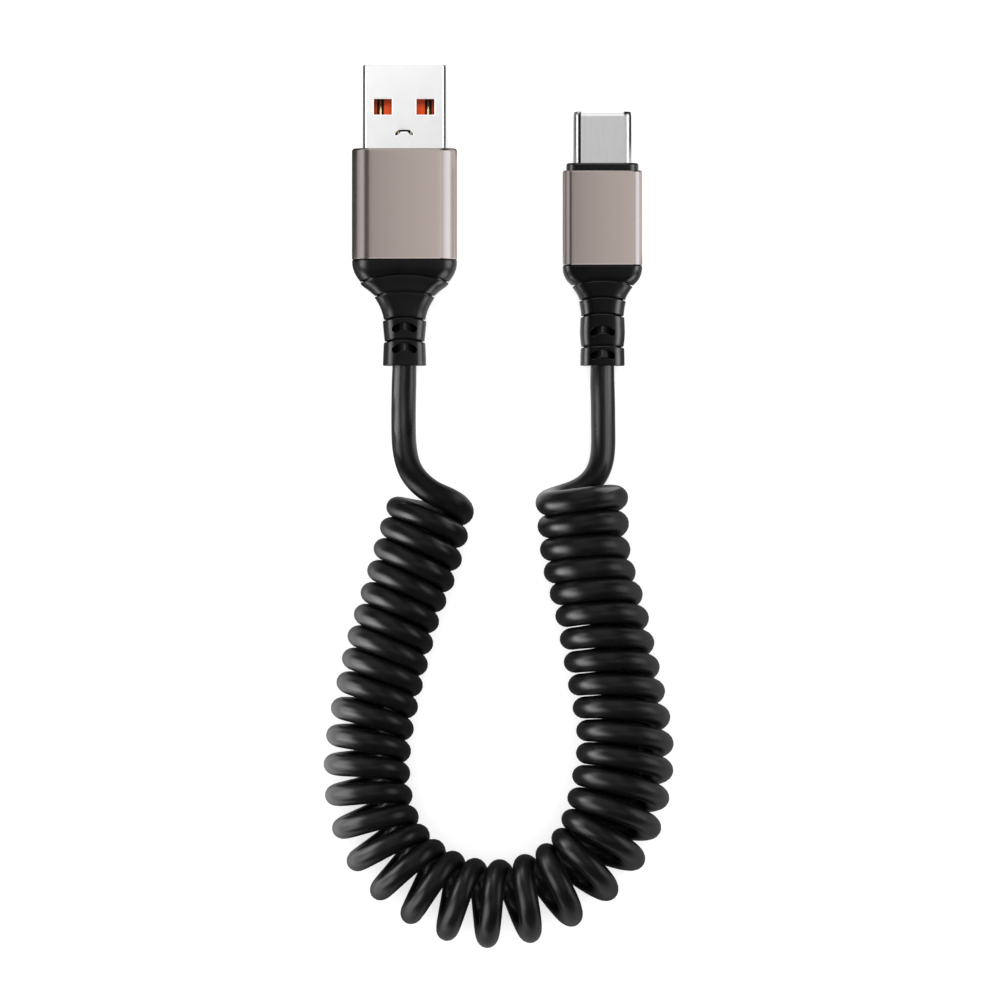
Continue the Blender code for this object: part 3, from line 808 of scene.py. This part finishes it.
def area(name, place, aim, size, radiance, group=None, tint=(1, 1, 1), along=(0, 1, 0), diffuse=True, glossy=True):
    """A soft box at place, turned to aim, in mm. Its long side runs along the
    given direction, and its face has the given radiance."""
    data = bpy.data.lights.new(name, "AREA")
    data.shape = "RECTANGLE"
    data.size, data.size_y = size[0] * MM, size[1] * MM
    data.color = tint
    data.energy = radiance * 4 * data.size * data.size_y
    obj = bpy.data.objects.new(name, data)
    bpy.context.scene.collection.objects.link(obj)
    start, end = Vector(place) * MM, Vector(aim) * MM
    back = (start - end).normalized()
    right = Vector(along).cross(back).normalized()
    up = back.cross(right)
    obj.matrix_world = Matrix((
        (right.x, up.x, back.x, start.x),
        (right.y, up.y, back.y, start.y),
        (right.z, up.z, back.z, start.z),
        (0, 0, 0, 1),
    ))
    obj.visible_camera = False
    obj.visible_diffuse = diffuse
    obj.visible_glossy = glossy
    if group:
        obj.light_linking.receiver_collection = LIT[group]
    return obj


def panels(name, group, middle, phis, radiances, length, azimuth=0.0, tint=(1, 1, 1), reach=360.0):
    """Soft boxes side by side on an arc round the middle. phis are the arc's
    joints in degrees from straight up, towards the azimuth (0 is +X, 90 is +Y)."""
    turn = math.radians(azimuth)
    flat = Vector((math.cos(turn), math.sin(turn), 0))
    along = Vector((-math.sin(turn), math.cos(turn), 0))
    for k, radiance in enumerate(radiances):
        low, high = math.radians(phis[k]), math.radians(phis[k + 1])
        mid = (low + high) / 2
        way = flat * math.sin(mid) + Vector((0, 0, math.cos(mid)))
        width = 2 * reach * math.tan((high - low) / 2)
        area(f"{name}_{k}", Vector(middle) + way * reach, middle, (width, length), radiance, group, tint, along, diffuse=False)


def make_light():
    scene = bpy.context.scene
    world = scene.world or bpy.data.worlds.new("world")
    scene.world = world
    world.use_nodes = True
    nodes, links = world.node_tree.nodes, world.node_tree.links
    background = nodes["Background"]
    background.inputs["Color"].default_value = (1, 1, 1, 1)
    path = nodes.new("ShaderNodeLightPath")
    links.new(spread(nodes, links, path.outputs["Is Glossy Ray"], 1.0, 0.01, (0, 1)), background.inputs["Strength"])

    cool, cold = (0.96, 1.0, 1.05), (0.93, 1.0, 1.09)
    # round each sleeve: a dark gap on the left of the middle, brighter right
    sleeves = (
        ("sleeve_a", (A_X, 2, 4), (0.60, 0.82, 0.09), (0.68, 0.78, 0.92, 0.97, 0.84), (1.40, 1.6, 0.85)),
        ("sleeve_c", (C_X, 0, 3.3), (0.38, 0.74, 0.08), (0.66, 0.68, 0.85, 0.90, 0.62), (1.32, 1.6, 1.35)),
    )
    for group, middle, left, over, right in sleeves:
        panels(group + "_left", group, middle, (-98, -70, -40, -8), left, 240, tint=cool)
        panels(group + "_over", group, middle, (-8, -2, 4, 11, 22, 34), over, 240)
        panels(group + "_right", group, middle, (34, 55, 80, 104), right, 240, tint=cold)
        panels(group + "_front", group, middle, (14, 90), (0.80,), 160, azimuth=90)
        panels(group + "_rear", group, middle, (14, 60), (0.80,), 160, azimuth=270)
    area("sleeve_a_beside", (1.5, 2, 3.6), (A_X, 2, 3.6), (6.0, 60), 0.5, "sleeve_a", diffuse=False)
    # dim ones at two corners, for the flat tops when seen from the side
    for group, middle in (("sleeve_a", (A_X, 2, 4)), ("sleeve_c", (C_X, 0, 3.3)), ("shell_a", (A_X, 16, 6)), ("shell_c", (C_X, 12, 4.4))):
        panels(group + "_far_left", group, middle, (50, 84), (0.7,), 280, azimuth=135)
        panels(group + "_near_right", group, middle, (58, 88), (0.7,), 280, azimuth=315)
    # round the two shells: the light above the first one fades towards its rear
    a, c = (A_X, 16, 6), (C_X, 12, 4.4)
    panels("shell_a_over", "shell_a", a, (-8, -5, -2, 1, 4, 7, 10, 13), (0.23, 0.39, 0.55, 0.71, 0.87, 1.03, 1.18), 100, azimuth=116)
    panels("shell_a_left", "shell_a", a, (-58, -8), (1.1,), 200)
    panels("shell_a_right", "shell_a", a, (8, 54), (1.1,), 200)
    panels("shell_a_front", "shell_a", a, (16, 80), (1.1,), 160, azimuth=90)
    panels("shell_a_rear", "shell_a", a, (16, 80), (1.1,), 160, azimuth=270)
    panels("shell_c_over", "shell_c", c, (-14, -9, 50), (1.0, 0.70), 200)
    panels("shell_c_left", "shell_c", c, (-110, -56), (1.7,), 200)
    panels("shell_c_right", "shell_c", c, (53, 92), (1.6,), 200)
    panels("shell_c_front", "shell_c", c, (9, 30, 90), (1.1, 1.5), 160, azimuth=90)
    # round the cord: strong low left, weaker right, dim ones above and behind
    coil = (0, -62, 5)
    panels("cord_left", "cord", coil, (36, 46, 72, 96), (1.2, 2.4, 1.8), 230, azimuth=207)
    panels("coil_beside", "cord", (-21, -67, 9), (33, 44, 70, 92), (1.9, 3.4, 2.9), 42, azimuth=180, reach=32)
    area("coil_inside", (-3, -65, 19), (7, -65, 13), (11.7, 40), 1.5, "cord", diffuse=False)
    panels("cord_right", "cord", coil, (62, 94), (0.95,), 300, azimuth=6)
    panels("cord_above", "cord", (0, -125, 5), (-38, 0, 38), (0.06, 0.26), 200, azimuth=8)
    panels("cord_behind", "cord", coil, (16, 85), (0.27,), 300, azimuth=90)
    panels("cord_front", "cord", coil, (87, 100), (0.2,), 420, azimuth=270)
    panels("leads_left", "cord", (0, -28, 4), (68, 96), (1.0,), 40, azimuth=180)
    panels("leads_right", "cord", (0, -28, 4), (50, 94), (0.38,), 40)
    for n, (y0, y1, lift, tone) in enumerate(((-19.5, -26.0, 0.0, 1.0), (-26.0, -30.0, 1.3, 1.0), (-30.0, -33.0, 2.9, 0.5))):
        y, reach = (y0 + y1) / 2, y0 - y1
        side, roof = f"lead_a_beside_{n}", f"lead_a_roof_{n}"
        area(side, (-18.2, y, 6.0 + lift), (A_X, y, 6.0 + lift), (2.8, reach), 3.3 * tone, "cord", diffuse=False)
        area(roof, (-19.65, y, 8.9 + lift), (-22.05, y, -0.8 + lift), (5.9, reach), 3.0 * tone, "cord", diffuse=False)
    area("lead_a_over", (-16.8, -26.5, 15.0), (-16.8, -26.5, 5.0), (5, 13), 0.6, "cord", diffuse=False)
    area("lead_c_beside", (20.0, -28.5, 9.7), (C_X, -28.5, 9.7), (9.6, 17), 1.75, "cord", diffuse=False)
    for x, z in ((A_X, A_Z), (C_X, C_Z)):
        area("in_the_slots", (x, -18.2, z + 15), (x, -18.2, z), (4.4, 6), 1.5, "cord", diffuse=False)
    # round each strain relief
    a, c = (A_X, -14, 4), (C_X, -14, 3.3)
    panels("boot_a_left", "boot_a", a, (32, 44, 72), (1.9, 4.5), 200, azimuth=180)
    panels("boot_a_low_left", "boot_a", a, (70, 95), (3.4,), 160, azimuth=225)
    panels("boot_a_right", "boot_a", a, (44, 56, 95), (1.5, 3.2), 200)
    panels("boot_a_low_right", "boot_a", a, (58, 95), (3.2,), 160, azimuth=315)
    panels("boot_c_left", "boot_c", c, (55, 64, 96), (2.3, 5.4), 200, azimuth=180)
    panels("boot_c_low_left", "boot_c", c, (72, 96), (4.2,), 160, azimuth=225)
    panels("boot_c_right", "boot_c", c, (36, 48, 80), (1.5, 5.0), 200)
    panels("boot_c_low_right", "boot_c", c, (60, 95), (3.2,), 160, azimuth=315)
    for group, middle, left, right, rear in (("boot_a", a, 0.05, 0.26, 0.8), ("boot_c", c, 0.005, 0.16, 1.3)):
        panels(group + "_above", group, middle, (-30, 0, 34), (left, right), 240)
        panels(group + "_behind", group, middle, (34, 88), (rear,), 240, azimuth=90)
    # even light on the insulator, without gloss
    area("over_orange", (A_X, 130, 270), (A_X, 15, 4), (160, 120), 7.0, "orange", glossy=False)
    # soft overall light on the floor
    area("overhead", (0, 100, 900), (0, -30, 0), (600, 600), 0.8, "floor", glossy=False)


def make_floor():
    mesh = bpy.data.meshes.new("floor")
    size = 6.0
    mesh.from_pydata([(-size, -size, 0), (size, -size, 0), (size, size, 0), (-size, size, 0)], [], [(0, 1, 2, 3)])
    floor = bpy.data.objects.new("floor", mesh)
    bpy.context.scene.collection.objects.link(floor)
    floor.location.z = -0.00001
    mat = bpy.data.materials.new("pale_floor")
    mat.use_nodes = True
    nodes, links = mat.node_tree.nodes, mat.node_tree.links
    shader = nodes["Principled BSDF"]
    grain = noise(nodes, links, 30, 2)
    links.new(blend_colour(nodes, links, grain, (0.80, 0.80, 0.80), (0.82, 0.82, 0.82)), shader.inputs["Base Color"])
    shader.inputs["Roughness"].default_value = 0.9
    shader.inputs["Specular IOR Level"].default_value = 0.0
    shader.inputs["Emission Color"].default_value = (1, 1, 1, 1)
    shader.inputs["Emission Strength"].default_value = 0.55
    # mirrored in the plugs and the cord, the floor is a set of grey cards, whose
    # tones change along X and from one stretch along Y to the next
    card = nodes.new("ShaderNodeEmission")
    where = nodes.new("ShaderNodeTexCoord")
    split = nodes.new("ShaderNodeSeparateXYZ")
    links.new(where.outputs["Object"], split.inputs["Vector"])

    def tones(stops):
        ramp = nodes.new("ShaderNodeValToRGB")
        ramp.color_ramp.interpolation = "EASE"
        links.new(spread(nodes, links, split.outputs["X"], 0, 1, (-0.08, 0.08)), ramp.inputs["Fac"])
        while len(ramp.color_ramp.elements) < len(stops):
            ramp.color_ramp.elements.new(0.5)
        for element, (x, tone) in zip(ramp.color_ramp.elements, stops):
            element.position = (x + 80) / 160
            element.color = (tone, tone, tone, 1)
        return ramp.outputs["Color"]

    def beyond(low, high, one, two):
        mix = nodes.new("ShaderNodeMix")
        mix.data_type = "RGBA"
        links.new(spread(nodes, links, split.outputs["Y"], 0, 1, (low * MM, high * MM)), mix.inputs["Factor"])
        links.new(one, mix.inputs["A"])
        links.new(two, mix.inputs["B"])
        return mix.outputs["Result"]

    by_coil = tones(((-36, 1.0), (-25, 0.25), (-16, 0.04), (14, 0.05), (25, 0.12), (36, 0.22)))
    by_leads = tones(((-36, 0.25), (-22, 0.1), (-6, 0.45), (8, 0.55), (24, 0.12), (36, 0.15)))
    by_boots = tones(((-38, 0.25), (-24, 0.06), (-14, 0.15), (-2, 0.40), (8, 0.45), (22, 0.2), (38, 0.5)))
    by_sleeves = tones(((-24, 0.06), (-14, 0.1), (-4, 0.42), (9, 0.2), (20, 0.4), (30, 0.6)))
    by_shells = tones(((-24, 0.03), (-4, 0.03), (4, 0.25), (11, 0.25), (16, 0.04), (40, 0.04)))
    by_bend = tones(((-36, 0.7), (-25, 0.3), (-14, 0.20), (14, 0.22), (25, 0.24), (36, 0.26)))
    tone = beyond(-110, -103, by_bend, by_coil)
    tone = beyond(-44, -38, tone, by_leads)
    tone = beyond(-18, -14, tone, by_boots)
    tone = beyond(-7, -5, tone, by_sleeves)
    tone = beyond(8, 11, tone, by_shells)
    links.new(tone, card.inputs["Color"])
    card.inputs["Strength"].default_value = 2.0
    path = nodes.new("ShaderNodeLightPath")
    mix = nodes.new("ShaderNodeMixShader")
    links.new(path.outputs["Is Glossy Ray"], mix.inputs["Fac"])
    links.new(shader.outputs["BSDF"], mix.inputs[1])
    links.new(card.outputs["Emission"], mix.inputs[2])
    links.new(mix.outputs["Shader"], nodes["Material Output"].inputs["Surface"])
    mat.cycles.emission_sampling = "NONE"
    mesh.materials.append(mat)
    return floor


make_camera()
pieces = main_pieces()
floor = make_floor()
for name, wanted in GROUPS.items():
    lit_group(name, [floor] if name == "floor" else [pieces[key] for key in wanted])
make_light()
bpy.context.scene.view_settings.view_transform = "Standard"
bpy.context.scene.view_settings.look = "None"
